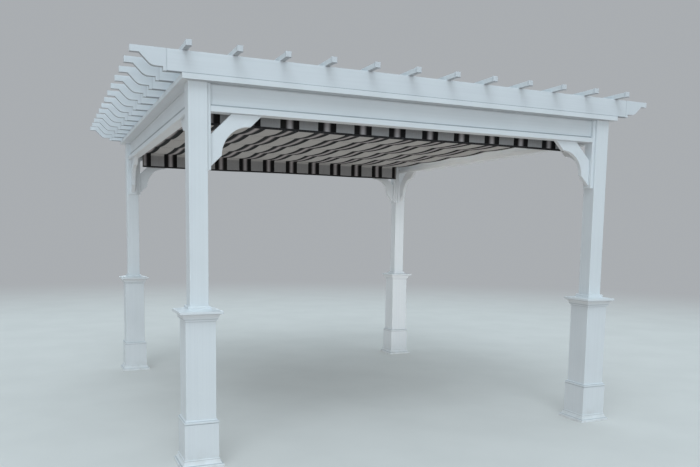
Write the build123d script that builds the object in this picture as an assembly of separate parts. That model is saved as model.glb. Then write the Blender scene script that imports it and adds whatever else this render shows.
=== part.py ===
from build123d import *
import os

# Freestanding white vinyl pergola. X runs along the front, Y from front to rear, Z up.
# The origin is on the floor, at the middle of the four posts. All lengths are in millimetres.

# Overall frame
SPAN_X = 3432          # centre to centre of the front posts
SPAN_Y = 3600          # centre to centre of the side posts
LEDGE_HEIGHT = 2580    # floor to the underside of the flat ledge boards
FIT = 0.3              # clearance of a piece that slips over or into another

# Post shaft
POST = 127
POST_WALL = 4
POST_CORNER = 4

# Pedestal box that wraps the lower part of a post
PEDESTAL = 206
PEDESTAL_HEIGHT = 1064
PEDESTAL_WALL = 5
PEDESTAL_CORNER = 3

# Plinth sleeve round the foot of the pedestal
PLINTH = 234
PLINTH_HEIGHT = 305    # floor to the lower edge of its top band
BAND_PROJECTION = 2
BAND_HEIGHT = 11
BEVEL_HEIGHT = 14
BEVEL_EDGE = 2         # thickness left at the top of the bevel
GROOVE = 3             # height and depth of the groove under the top band

# Ogee base moulding on the floor round the plinth
BASE_PROJECTION = 31
BASE_HEIGHT = 60
BASE_TOE = 14
BASE_NOSE = 7
BASE_FILLET = 4
BASE_BEAD = 6

# Pedestal cap: a strip, a cove, a thin lip and a top that sheds water
CAP_STRIP_PROJECTION = 6
CAP_STRIP_HEIGHT = 13
COVE_START = 13        # past the pedestal, at the foot of the cove
COVE_PROJECTION = 20
COVE_HEIGHT = 39
LIP_OVERHANG = 11
LIP_HEIGHT = 16
TOP_RISE = 12
CAP_TOP_WALL = 8       # material over the pedestal box, under the top of the lip

# Collar round the shaft on top of the cap
COLLAR_PROJECTION = 15
COLLAR_HEIGHT = 20
COLLAR_BEVEL = 6

# Beams: an upright board on a flat rail, both centred on the posts
BEAM_THICKNESS = 38
BEAM_HEIGHT = 145
RAIL_WIDTH = 89
RAIL_HEIGHT = 38
BOARD_WALL = 3
BOARD_CORNER = 2

# Mounting strips on the inner faces of the posts, behind the beam ends and brackets
STRIP_WIDTH = 89
STRIP_THICKNESS = 25
STRIP_DROP = 383       # below the underside of the rails
STRIP_CORNER = 2

# Flat ledge boards, mitred at the corners
LEDGE_OVERHANG = 47    # past the outer face of the posts
LEDGE_THICKNESS = 36
MITRE_CHAMFER = 1

# Arched knee brackets
BRACKET_THICKNESS = 38
BRACKET_HEEL = 150     # from the corner of strip and rail to the straight back edge
BRACKET_REACH = 362    # from the same corner to each tip, along the rail and down the strip
BRACKET_RADIUS = 202   # hollow curve between the two cut ends
BRACKET_CORNER = 2.5

# Rafters, laid on the ledge boards along X
RAFTER_COUNT = 13
RAFTER_THICKNESS = 38
RAFTER_HEIGHT = 140
RAFTER_OVERHANG = 95   # past the outer edge of the ledge, to the cut end behind the cap
RAFTER_INSET = 7       # first and last rafter, behind the outer edge of the ledge

# Ogee caps on the ends of the rafters, each with a hollow tenon that slips into the rafter
TAIL_LENGTH = 226      # from the cut end of the rafter to the tip
TAIL_TIP = 40
TAIL_SHOULDER = 114
TAIL_HEEL = 22         # full height, before the notch
TAIL_TIP_FLAT = 57     # along the underside of the tip, to where the slope starts
TAIL_TIP_BEND = 40     # the two bends of the ogee
TAIL_SHOULDER_BEND = 65
TAIL_WALL = 2.7
TAIL_CHAMFER = 1.5     # round the butt face, which leaves a fine groove at the rafter
TENON_LENGTH = 35
TENON_WALL = 2

# Purlins, laid on the rafters along Y
PURLIN_COUNT = 12
PURLIN = 36
PURLIN_WALL = 2
PURLIN_CORNER = 1.5
PURLIN_INSET = 4       # outer purlins, behind the outer edge of the ledge
PURLIN_OVERHANG = 116  # past the outer edge of the ledge

# Bevelled caps that slip over the ends of the purlins
PURLIN_CAP_FACE = 4
PURLIN_CAP_DEPTH = 19
PURLIN_CAP_WALL = 1.7
PURLIN_CAP_BEVEL = 3

# Striped canopy, hung in slack bays below the rafters
CANOPY_DROP = 100       # top of the fabric at the battens, below the ledge boards
CANOPY_LEFT_GAP = 50    # fabric to the inner face of the left posts
CANOPY_RIGHT_GAP = 12   # fabric to the inner face of the right posts
CANOPY_FRONT_GAP = 136  # middle of the front batten to the inner face of the front posts
CANOPY_REAR_GAP = 1     # rear batten to the mounting strips of the rear posts
CANOPY_REAR_TURN = 21   # flat length past the rear batten, before the fabric hangs down
CANOPY_BAYS = 5
CANOPY_SAG = 15
CANOPY_THICKNESS = 3
FRONT_DROP = 139       # the two hanging ends of the fabric
REAR_DROP = 155

# Battens over the fabric and the side tracks that carry them
BATTEN = 19
BATTEN_WALL = 1.5
BATTEN_CORNER = 1
BATTEN_ENTRY = 12      # how far a batten reaches into its track
TRACK_DEPTH = 24
TRACK_WALL = 2

# Sizes that follow from the ones above
LEDGE_HALF_X = SPAN_X / 2 + POST / 2 + LEDGE_OVERHANG
LEDGE_HALF_Y = SPAN_Y / 2 + POST / 2 + LEDGE_OVERHANG
LEDGE_WIDTH = POST + 2 * LEDGE_OVERHANG
CAP_LIP_TOP = CAP_STRIP_HEIGHT + COVE_HEIGHT + LIP_HEIGHT
CAP_DROP = CAP_LIP_TOP - CAP_TOP_WALL
CAP_BASE = PEDESTAL_HEIGHT - CAP_DROP
COLLAR_BASE = CAP_BASE + CAP_LIP_TOP + TOP_RISE
BEAM_BASE = LEDGE_HEIGHT - BEAM_HEIGHT
RAIL_BASE = BEAM_BASE - RAIL_HEIGHT
RAFTER_BASE = LEDGE_HEIGHT + LEDGE_THICKNESS
RAFTER_TOP = RAFTER_BASE + RAFTER_HEIGHT
RAFTER_END = LEDGE_HALF_X + RAFTER_OVERHANG
PURLIN_END = LEDGE_HALF_Y + PURLIN_OVERHANG
BEAM_LENGTH_X = SPAN_X - POST - 2 * STRIP_THICKNESS
BEAM_LENGTH_Y = SPAN_Y - POST - 2 * STRIP_THICKNESS
CANOPY_HEIGHT = LEDGE_HEIGHT - CANOPY_DROP
BATTEN_BASE = CANOPY_HEIGHT + FIT
BATTEN_FRONT = CANOPY_FRONT_GAP - (SPAN_Y - POST) / 2
BATTEN_REAR = BEAM_LENGTH_Y / 2 - CANOPY_REAR_GAP - BATTEN / 2
TRACK_FACE = SPAN_X / 2 - BEAM_THICKNESS / 2
FABRIC_FRONT = BATTEN_FRONT - BATTEN / 2
FABRIC_REAR = BATTEN_REAR + BATTEN / 2 + CANOPY_REAR_TURN
FABRIC_WIDTH = SPAN_X - POST - CANOPY_LEFT_GAP - CANOPY_RIGHT_GAP
FABRIC_MIDDLE = (CANOPY_LEFT_GAP - CANOPY_RIGHT_GAP) / 2

CORNERS = {
    "front_left": (-1, -1),
    "front_right": (1, -1),
    "rear_left": (-1, 1),
    "rear_right": (1, 1),
}


def tube(width, length, wall, corner):
    """Upright square extrusion with softened outer corners, standing on Z = 0."""
    inner = width - 2 * wall
    return extrude(RectangleRounded(width, width, corner) - Rectangle(inner, inner), length)


def lying_tube(width, height, length, wall, bevel):
    """Hollow extrusion laid along X, centred on X and Y, with its underside on Z = 0."""
    section = chamfer(Rectangle(width, height).vertices(), bevel)
    section -= Rectangle(width - 2 * wall, height - 2 * wall)
    return Pos(0, 0, height / 2) * extrude(Plane.YZ * section, length / 2, both=True)


def square_moulding(outline, hole):
    """Mitred square moulding: a half profile crossed with itself, round a square hole.

    The outline is closed and lies in X (distance from the axis) and Z (height).
    """
    half = Plane.XZ * make_face(outline)
    size = half.bounding_box().max
    slab = extrude(half + mirror(half, Plane.YZ), size.X, both=True)
    return (slab & Rot(0, 0, 90) * slab) - extrude(Rectangle(hole, hole), size.Z)


def make_pedestal():
    return tube(PEDESTAL, PEDESTAL_HEIGHT, PEDESTAL_WALL, PEDESTAL_CORNER)


def make_plinth():
    """Sleeve with a groove, a projecting band and a bevel that runs back to the pedestal."""
    sleeve = PLINTH / 2
    band = sleeve + BAND_PROJECTION
    band_top = PLINTH_HEIGHT + BAND_HEIGHT
    edge = PEDESTAL / 2 + BEVEL_EDGE
    top = band_top + BEVEL_HEIGHT
    groove_foot = PLINTH_HEIGHT - GROOVE
    outline = Polyline(
        (0, 0), (sleeve, 0), (sleeve, groove_foot), (sleeve - GROOVE, groove_foot),
        (sleeve - GROOVE, PLINTH_HEIGHT), (band, PLINTH_HEIGHT),
        (band, band_top), (edge, top), (0, top), close=True,
    )
    return square_moulding(outline, PEDESTAL + 2 * FIT)


def make_base():
    """Base moulding: a toe, a rounded nose, a fillet, a cove and a bead at the plinth."""
    sleeve = PLINTH / 2
    toe = sleeve + BASE_PROJECTION
    nose_top = BASE_TOE + BASE_NOSE
    cove_foot = toe - BASE_NOSE - BASE_FILLET
    bead = sleeve + BASE_BEAD
    bead_foot = BASE_HEIGHT - BASE_BEAD
    outline = Polyline((0, 0), (toe, 0), (toe, BASE_TOE))
    outline += CenterArc((toe - BASE_NOSE, BASE_TOE), BASE_NOSE, 0, 90)
    outline += Line((toe - BASE_NOSE, nose_top), (cove_foot, nose_top))
    outline += TangentArc((bead, bead_foot), (cove_foot, nose_top), tangent=(0, -1))
    outline += CenterArc((sleeve, bead_foot), BASE_BEAD, 0, 90)
    outline += Polyline((sleeve, BASE_HEIGHT), (0, BASE_HEIGHT), (0, 0))
    return square_moulding(outline, PLINTH + 2 * FIT)


def make_cap():
    """Pedestal cap: a strip, a cove under a thin lip, and a sloping top. Hollow below."""
    strip = PEDESTAL / 2 + CAP_STRIP_PROJECTION
    cove_foot = PEDESTAL / 2 + COVE_START
    throat = cove_foot + COVE_PROJECTION
    cove_top = CAP_STRIP_HEIGHT + COVE_HEIGHT
    lip = throat + LIP_OVERHANG
    neck = POST / 2 + COLLAR_PROJECTION
    peak = CAP_LIP_TOP + TOP_RISE
    outline = Polyline(
        (0, 0), (strip, 0), (strip, CAP_STRIP_HEIGHT), (cove_foot, CAP_STRIP_HEIGHT),
    )
    outline += TangentArc((cove_foot, CAP_STRIP_HEIGHT), (throat, cove_top), tangent=(0, 1))
    outline += Polyline(
        (throat, cove_top), (lip, cove_top), (lip, CAP_LIP_TOP), (neck, peak), (0, peak), (0, 0),
    )
    socket = extrude(Rectangle(PEDESTAL + 2 * FIT, PEDESTAL + 2 * FIT), CAP_DROP)
    return Pos(0, 0, CAP_BASE) * (square_moulding(outline, POST + 2 * FIT) - socket)


def make_collar():
    """Small square collar that trims the shaft where it leaves the cap."""
    outer = POST / 2 + COLLAR_PROJECTION
    outline = Polyline(
        (0, 0), (outer, 0), (outer, COLLAR_HEIGHT - COLLAR_BEVEL),
        (outer - COLLAR_BEVEL, COLLAR_HEIGHT), (0, COLLAR_HEIGHT), close=True,
    )
    return Pos(0, 0, COLLAR_BASE) * square_moulding(outline, POST + 2 * FIT)


def make_beam(length):
    board = lying_tube(BEAM_THICKNESS, BEAM_HEIGHT, length, BOARD_WALL, BOARD_CORNER)
    return Pos(0, 0, BEAM_BASE) * board


def make_rail(length):
    rail = lying_tube(RAIL_WIDTH, RAIL_HEIGHT, length, BOARD_WALL, BOARD_CORNER)
    return Pos(0, 0, RAIL_BASE) * rail


def make_ledge(half_length, half_depth):
    """Front ledge board: flat, with a 45 degree mitre at each end."""
    inner_length = half_length - LEDGE_WIDTH
    inner_depth = half_depth - LEDGE_WIDTH
    flat = make_face(Polyline(
        (-half_length, -half_depth), (half_length, -half_depth),
        (inner_length, -inner_depth), (-inner_length, -inner_depth), close=True,
    ))
    board = Pos(0, 0, LEDGE_HEIGHT) * extrude(flat, LEDGE_THICKNESS)
    mitre_faces = board.faces().sort_by(SortBy.AREA)[:2]
    mitre_edges = mitre_faces.edges().filter_by(Plane.XY)
    board = chamfer(mitre_edges, MITRE_CHAMFER)
    outer_edges = board.edges().filter_by(Axis.X).group_by(Axis.Y)[0]
    return fillet(outer_edges, BOARD_CORNER)


def make_strip():
    """Mounting strip on the right face of a post that stands on the origin."""
    height = STRIP_DROP + RAIL_HEIGHT + BEAM_HEIGHT
    board = Box(STRIP_THICKNESS, STRIP_WIDTH, height, align=(Align.MIN, Align.CENTER, Align.MAX))
    face = board.faces().sort_by(Axis.X)[-1]
    board = chamfer(face.edges().filter_by(Axis.Z), STRIP_CORNER)
    return Pos(POST / 2, 0, LEDGE_HEIGHT) * board


def make_bracket():
    """Knee bracket in the XZ plane, right of a post that stands on the origin."""
    cut = (BRACKET_REACH - BRACKET_RADIUS) / 2
    far = BRACKET_REACH - cut
    outline = Polyline((BRACKET_HEEL, 0), (BRACKET_REACH, 0), (far, -cut))
    outline += CenterArc((far, -far), BRACKET_RADIUS, 90, 90)
    outline += Polyline(
        (cut, -far), (0, -BRACKET_REACH), (0, -BRACKET_HEEL), (BRACKET_HEEL, 0),
    )
    face = Plane.XZ * make_face(outline)
    plate = extrude(face, BRACKET_THICKNESS / 2, both=True)
    sides = plate.faces().sort_by(Axis.Y)
    plate = chamfer(sides[0].edges() + sides[-1].edges(), BRACKET_CORNER)
    return Pos(POST / 2 + STRIP_THICKNESS, 0, RAIL_BASE) * plate


def corner_pair(piece, side_x, side_y):
    """A piece on both inner faces of one post: along the front or rear, and along the side."""
    along = Rot(0, 0, 90 + 90 * side_x) * piece
    across = Rot(0, 0, -90 * side_y) * piece
    place = Pos(side_x * SPAN_X / 2, side_y * SPAN_Y / 2, 0)
    return [place * along, place * across]


def spread(count, reach):
    """Evenly spaced places from -reach to reach."""
    return [-reach + 2 * reach * index / (count - 1) for index in range(count)]


def make_rafters():
    rafter = Pos(0, 0, RAFTER_BASE) * lying_tube(
        RAFTER_THICKNESS, RAFTER_HEIGHT, 2 * RAFTER_END, BOARD_WALL, BOARD_CORNER,
    )
    return [Pos(0, place, 0) * rafter for place in RAFTER_PLACES]


def make_tail():
    """Ogee cap of a rafter: a moulded shell, flush with the rafter, on a hollow tenon.

    The outline is the outer side view, from the rafter's cut end, at its top edge.
    """
    slope = TAIL_SHOULDER - TAIL_TIP
    bend = TAIL_LENGTH - TAIL_TIP_FLAT
    outline = Polyline(
        (0, 0), (TAIL_LENGTH, 0), (TAIL_LENGTH, -TAIL_TIP), (bend, -TAIL_TIP),
        (bend - slope, -TAIL_SHOULDER), (TAIL_HEEL, -TAIL_SHOULDER),
        (TAIL_HEEL, -RAFTER_HEIGHT), (0, -RAFTER_HEIGHT), close=True,
    )
    side = make_face(outline)
    shoulder, tip = side.vertices().sort_by(Axis.X)[4:6]
    side = fillet(tip, TAIL_TIP_BEND)
    side = fillet(shoulder, TAIL_SHOULDER_BEND)
    hollow = offset(side, -TAIL_WALL, kind=Kind.INTERSECTION)
    body = extrude(Plane.XZ * side, RAFTER_THICKNESS / 2, both=True)
    butt = body.faces().sort_by(Axis.X)[0]
    body = chamfer(butt.edges(), TAIL_CHAMFER)
    body -= extrude(Plane.XZ * hollow, RAFTER_THICKNESS / 2 - TAIL_WALL, both=True)
    tenon_width = RAFTER_THICKNESS - 2 * BOARD_WALL - 2 * FIT
    tenon_height = RAFTER_HEIGHT - 2 * BOARD_WALL - 2 * FIT
    place = Pos(TAIL_WALL, 0, -RAFTER_HEIGHT / 2)
    tenon = place * Box(
        TENON_LENGTH, tenon_width, tenon_height, align=(Align.MAX, Align.CENTER, Align.CENTER),
    )
    passage = place * Box(
        TENON_LENGTH, tenon_width - 2 * TENON_WALL, tenon_height - 2 * TENON_WALL,
        align=(Align.MAX, Align.CENTER, Align.CENTER),
    )
    return Pos(RAFTER_END, 0, RAFTER_TOP) * (body + tenon - passage)


def make_purlins():
    purlin = Pos(0, 0, RAFTER_TOP) * Rot(0, 0, 90) * lying_tube(
        PURLIN, PURLIN, 2 * PURLIN_END, PURLIN_WALL, PURLIN_CORNER,
    )
    return [Pos(place, 0, 0) * purlin for place in PURLIN_PLACES]


def make_purlin_cap():
    """Bevelled cap that slips over the rear end of a purlin."""
    outer = PURLIN + 2 * (FIT + PURLIN_CAP_WALL)
    hole = PURLIN + 2 * FIT
    length = PURLIN_CAP_FACE + PURLIN_CAP_DEPTH
    shell = Box(outer, outer, length, align=(Align.CENTER, Align.CENTER, Align.MAX))
    shell = chamfer(shell.faces().sort_by(Axis.Z)[-1].edges(), PURLIN_CAP_BEVEL)
    shell -= Pos(0, 0, -PURLIN_CAP_FACE) * extrude(Rectangle(hole, hole), -PURLIN_CAP_DEPTH)
    middle = Pos(0, PURLIN_END + PURLIN_CAP_FACE, RAFTER_TOP + PURLIN / 2)
    return middle * Rot(-90, 0, 0) * shell


def batten_places():
    step = (BATTEN_REAR - BATTEN_FRONT) / CANOPY_BAYS
    return [BATTEN_FRONT + step * index for index in range(CANOPY_BAYS + 1)]


def make_canopy():
    """Fabric in one slack curve for each bay, and flat past the first and last batten."""
    places = batten_places()
    upper = [Line((FABRIC_FRONT, 0), (places[0], 0))]
    upper += [
        SagittaArc((near, 0), (far, 0), -CANOPY_SAG) for near, far in zip(places, places[1:])
    ]
    upper += [Line((places[-1], 0), (FABRIC_REAR, 0))]
    lower = [Pos(0, -CANOPY_THICKNESS) * edge for edge in upper]
    ends = [
        Line((FABRIC_FRONT, 0), (FABRIC_FRONT, -CANOPY_THICKNESS)),
        Line((FABRIC_REAR, 0), (FABRIC_REAR, -CANOPY_THICKNESS)),
    ]
    side = Plane.YZ * make_face(upper + lower + ends)
    return Pos(FABRIC_MIDDLE, 0, CANOPY_HEIGHT) * extrude(side, FABRIC_WIDTH / 2, both=True)


def make_valance(edge, outward, drop):
    """Hanging end of the fabric, just outside the edge of the canopy."""
    middle = edge + outward * (FIT + CANOPY_THICKNESS / 2)
    sheet = Box(FABRIC_WIDTH, CANOPY_THICKNESS, drop, align=(Align.CENTER, Align.CENTER, Align.MAX))
    return Pos(FABRIC_MIDDLE, middle, CANOPY_HEIGHT) * sheet


def make_battens():
    length = 2 * (TRACK_FACE - TRACK_DEPTH + BATTEN_ENTRY)
    batten = Pos(0, 0, BATTEN_BASE) * lying_tube(
        BATTEN, BATTEN, length, BATTEN_WALL, BATTEN_CORNER,
    )
    return [Pos(0, place, 0) * batten for place in batten_places()]


def make_track():
    """Channel on the inner face of the right-hand beam, open towards the middle."""
    slot = BATTEN + 2 * FIT
    height = slot + 2 * TRACK_WALL
    section = Rectangle(TRACK_DEPTH, height, align=(Align.MAX, Align.CENTER))
    section -= Pos(-TRACK_WALL, 0) * Rectangle(
        TRACK_DEPTH, slot, align=(Align.MAX, Align.CENTER),
    )
    channel = extrude(Plane.XZ * section, BEAM_LENGTH_Y / 2, both=True)
    return Pos(TRACK_FACE, 0, BATTEN_BASE + BATTEN / 2) * channel


RAFTER_PLACES = spread(RAFTER_COUNT, LEDGE_HALF_Y - RAFTER_INSET - RAFTER_THICKNESS / 2)
PURLIN_PLACES = spread(PURLIN_COUNT, LEDGE_HALF_X - PURLIN_INSET - PURLIN / 2)


def build():
    """Every node of the pergola, by name. A list holds solids that don't touch."""
    nodes = {}
    pedestal = make_pedestal()
    plinth = make_plinth()
    base = make_base()
    cap = make_cap()
    collar = make_collar()
    post = tube(POST, LEDGE_HEIGHT, POST_WALL, POST_CORNER)
    strip = make_strip()
    bracket = make_bracket()
    nodes["post_collars"] = []
    nodes["mounting_strips"] = []
    for name, (side_x, side_y) in CORNERS.items():
        place = Pos(side_x * SPAN_X / 2, side_y * SPAN_Y / 2, 0)
        nodes[f"post_{name}"] = place * post
        nodes[f"pedestal_box_{name}"] = place * pedestal
        nodes[f"pedestal_plinth_{name}"] = place * plinth
        nodes[f"base_moulding_{name}"] = place * base
        nodes[f"pedestal_cap_{name}"] = place * cap
        nodes["post_collars"].append(place * collar)
        nodes["mounting_strips"] += corner_pair(strip, side_x, side_y)
        nodes[f"brackets_{name}"] = corner_pair(bracket, side_x, side_y)

    for name, side in (("front", -1), ("rear", 1)):
        place = Pos(0, side * SPAN_Y / 2, 0)
        turn = Rot(0, 0, 90 + 90 * side)
        nodes[f"beam_{name}"] = place * make_beam(BEAM_LENGTH_X)
        nodes[f"beam_rail_{name}"] = place * make_rail(BEAM_LENGTH_X)
        nodes[f"ledge_{name}"] = turn * make_ledge(LEDGE_HALF_X, LEDGE_HALF_Y)
    for name, side in (("left", -1), ("right", 1)):
        place = Pos(side * SPAN_X / 2, 0, 0) * Rot(0, 0, 90)
        turn = Rot(0, 0, 90 * side)
        nodes[f"beam_{name}"] = place * make_beam(BEAM_LENGTH_Y)
        nodes[f"beam_rail_{name}"] = place * make_rail(BEAM_LENGTH_Y)
        nodes[f"ledge_{name}"] = turn * make_ledge(LEDGE_HALF_Y, LEDGE_HALF_X)

    tail = make_tail()
    nodes["rafters"] = make_rafters()
    nodes["rafter_caps_right"] = [Pos(0, place, 0) * tail for place in RAFTER_PLACES]
    nodes["rafter_caps_left"] = [mirror(cap, Plane.YZ) for cap in nodes["rafter_caps_right"]]

    purlin_cap = make_purlin_cap()
    nodes["purlins"] = make_purlins()
    rear_caps = [Pos(place, 0, 0) * purlin_cap for place in PURLIN_PLACES]
    nodes["purlin_caps"] = rear_caps + [mirror(cap, Plane.XZ) for cap in rear_caps]

    track = make_track()
    nodes["canopy"] = make_canopy()
    nodes["valance_front"] = make_valance(FABRIC_FRONT, -1, FRONT_DROP)
    nodes["valance_rear"] = make_valance(FABRIC_REAR, 1, REAR_DROP)
    nodes["canopy_battens"] = make_battens()
    nodes["canopy_tracks"] = [track, mirror(track, Plane.YZ)]
    return nodes


os.makedirs("parts", exist_ok=True)
for node_name, shape in build().items():
    solids = shape if isinstance(shape, list) else [shape]
    export_step(Compound(children=solids), f"parts/{node_name}.step")
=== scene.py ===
"""Looks of a freestanding white vinyl pergola with a striped fabric canopy.

The frame keeps its solids and gets vinyl finishes. The canopy, its hanging ends, the batten
sleeves, the bindings and the stitching are surfaces worked out here, in metres, in the
frame's own axes: X to the right along the front, Y from front to rear, Z up from the floor.
"""

import logging
import math
from dataclasses import dataclass
from enum import Enum, IntEnum
from functools import cached_property
from typing import Any, Mapping, Sequence

import bpy
import numpy as np
from mathutils import Matrix, Vector


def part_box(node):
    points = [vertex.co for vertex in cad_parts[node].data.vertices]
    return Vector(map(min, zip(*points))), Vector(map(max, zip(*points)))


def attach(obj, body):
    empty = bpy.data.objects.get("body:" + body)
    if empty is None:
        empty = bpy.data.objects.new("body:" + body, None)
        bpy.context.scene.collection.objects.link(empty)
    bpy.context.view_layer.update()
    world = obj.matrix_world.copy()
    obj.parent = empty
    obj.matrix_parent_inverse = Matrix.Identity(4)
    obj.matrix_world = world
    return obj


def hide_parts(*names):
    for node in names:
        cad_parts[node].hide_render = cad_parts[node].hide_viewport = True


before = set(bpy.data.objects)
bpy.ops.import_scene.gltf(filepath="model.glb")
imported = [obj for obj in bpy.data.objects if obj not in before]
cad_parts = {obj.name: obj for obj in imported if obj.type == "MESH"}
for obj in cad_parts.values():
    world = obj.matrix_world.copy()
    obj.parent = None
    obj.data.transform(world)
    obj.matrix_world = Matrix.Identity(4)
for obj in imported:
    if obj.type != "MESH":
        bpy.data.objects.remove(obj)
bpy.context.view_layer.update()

LOG = logging.getLogger("pergola")
Colour = tuple[float, float, float]
CORNERS = ("front_left", "front_right", "rear_left", "rear_right")
BODY = "root"
# Numbers of the Mix node's sockets for colours, because their names aren't unique.
MIX_SHARE, MIX_FIRST, MIX_SECOND, MIX_RESULT = 0, 6, 7, 2


class Grain(Enum):
    """The way a piece was drawn out, which its streaks follow. Each value is a pattern scale."""

    UPRIGHT = (70.0, 70.0, 0.9)
    ALONG_X = (0.9, 70.0, 70.0)
    ALONG_Y = (70.0, 0.9, 70.0)
    MOULDED = (6.0, 6.0, 6.0)


class End(IntEnum):
    """The hanging ends of the fabric. Each value is the way along Y that the end faces."""

    FRONT = -1
    REAR = 1


class Link:
    """A shader socket that takes part in Python arithmetic. Each operation adds a Math node."""

    def __init__(self, graph: "Graph", socket: bpy.types.NodeSocket) -> None:
        """Wraps a socket.

        Args:
            graph: The node tree that new nodes go to.
            socket: An output socket of that tree.
        """
        self.graph = graph
        self.socket = socket

    def __add__(self, other: "Value") -> "Link":
        """Sum."""
        return self.graph.maths("ADD", self, other)

    def __radd__(self, other: "Value") -> "Link":
        """Sum, with the link on the right."""
        return self.graph.maths("ADD", other, self)

    def __sub__(self, other: "Value") -> "Link":
        """Difference."""
        return self.graph.maths("SUBTRACT", self, other)

    def __mul__(self, other: "Value") -> "Link":
        """Product."""
        return self.graph.maths("MULTIPLY", self, other)

    def __rmul__(self, other: "Value") -> "Link":
        """Product, with the link on the right."""
        return self.graph.maths("MULTIPLY", other, self)

    def __truediv__(self, other: "Value") -> "Link":
        """Quotient."""
        return self.graph.maths("DIVIDE", self, other)

    def __gt__(self, other: "Value") -> "Link":
        """One where the link is the larger, otherwise zero."""
        return self.graph.maths("GREATER_THAN", self, other)

    def __abs__(self) -> "Link":
        """Distance from zero."""
        return self.graph.maths("ABSOLUTE", self)

    def wrapped(self, period: float) -> "Link":
        """Place within a repeat that starts at zero, from 0 to the period."""
        return self.graph.maths("WRAP", self, period, 0.0)

    def ramp(self, low: float, high: float) -> "Link":
        """Rises smoothly from 0 at low to 1 at high. With low above high it falls.

        Args:
            low: Where the result is 0.
            high: Where the result is 1.

        Returns:
            The smooth step.
        """
        limits = {"Value": self, "From Min": low, "From Max": high}
        return self.graph.node("ShaderNodeMapRange", limits, interpolation_type="SMOOTHSTEP")


Value = Link | float


class Graph:
    """Node tree of one material or world, with one method that adds any node."""

    def __init__(self, tree: bpy.types.NodeTree) -> None:
        """Empties the tree.

        Args:
            tree: Node tree of a material or a world.
        """
        self.tree = tree
        tree.nodes.clear()

    def add(self, kind: str, inputs: Mapping[str | int, Any], **settings: Any) -> bpy.types.Node:
        """Adds a node: its settings first, then the values or links of its sockets.

        Args:
            kind: Node type, such as ShaderNodeTexNoise.
            inputs: Value or Link for each named or numbered socket.
            **settings: Properties of the node.

        Returns:
            The new node.
        """
        new = self.tree.nodes.new(kind)
        for name, setting in settings.items():
            setattr(new, name, setting)
        for name, value in inputs.items():
            if isinstance(value, Link):
                self.tree.links.new(value.socket, new.inputs[name])
            else:
                new.inputs[name].default_value = value
        return new

    def node(self, kind: str, inputs: Mapping[str | int, Any], output: str | int = 0,
             **settings: Any) -> Link:
        """Adds a node and gives one of its outputs.

        Args:
            kind: Node type.
            inputs: Value or Link for each socket.
            output: Name or number of the wanted output.
            **settings: Properties of the node.

        Returns:
            A Link to that output.
        """
        return Link(self, self.add(kind, inputs, **settings).outputs[output])

    def maths(self, operation: str, *values: Value) -> Link:
        """One Math node."""
        return self.node("ShaderNodeMath", dict(enumerate(values)), operation=operation)

    def blend(self, share: Value, first: Link | Colour, second: Link | Colour) -> Link:
        """Mixes two colours.

        Args:
            share: 0 gives the first colour and 1 the second.
            first: Colour or link.
            second: Colour or link.

        Returns:
            The mixed colour.
        """
        first_colour, second_colour = (
            colour if isinstance(colour, Link) else (*colour, 1.0) for colour in (first, second)
        )
        sockets = {MIX_SHARE: share, MIX_FIRST: first_colour, MIX_SECOND: second_colour}
        settings = {"data_type": "RGBA", "clamp_factor": True}
        return self.node("ShaderNodeMix", sockets, MIX_RESULT, **settings)

    def stretched(self, vector: Link, scale: Sequence[float]) -> Link:
        """A vector times a scale for each axis."""
        return self.node("ShaderNodeMapping", {"Vector": vector, "Scale": scale})

    def place(self, scale: Sequence[float] = (1, 1, 1)) -> Link:
        """Object coordinates, in metres, times a scale for each axis."""
        return self.stretched(self.node("ShaderNodeTexCoord", {}, "Object"), scale)

    def noise(self, vector: Link, scale: float, detail: float = 2.0) -> Link:
        """Noise about 0.5, between 0 and 1."""
        sockets = {"Vector": vector, "Scale": scale, "Detail": detail}
        return self.node("ShaderNodeTexNoise", sockets, "Fac")

    def axis(self, vector: Link, name: str) -> Link:
        """One component, X, Y or Z, of a vector."""
        return self.node("ShaderNodeSeparateXYZ", {"Vector": vector}, name)

    def bump(self, height: Link, distance: float, strength: float = 1.0) -> Link:
        """Normal from a height between 0 and 1, over a distance in metres."""
        sockets = {"Height": height, "Distance": distance, "Strength": strength}
        return self.node("ShaderNodeBump", sockets)

    def surface(self, inputs: Mapping[str, Any]) -> None:
        """Ends the tree in a Principled shader with these sockets set."""
        shader = self.node("ShaderNodeBsdfPrincipled", inputs)
        self.add("ShaderNodeOutputMaterial", {"Surface": shader})


def new_material(name: str) -> tuple[bpy.types.Material, Graph]:
    """A new material, and the emptied node tree that it takes its looks from."""
    material = bpy.data.materials.new(name)
    material.use_nodes = True
    return material, Graph(material.node_tree)


@dataclass(frozen=True)
class Finish:
    """A finish that dresses any number of pieces with one material.

    Attributes:
        name: Name of the material.
    """

    name: str

    @cached_property
    def material(self) -> bpy.types.Material:
        """Its material, made once."""
        made, graph = new_material(self.name)
        self.draw(graph)
        return made

    def draw(self, graph: Graph) -> None:
        """Adds the nodes, which each kind of finish has of its own."""
        raise NotImplementedError


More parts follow.
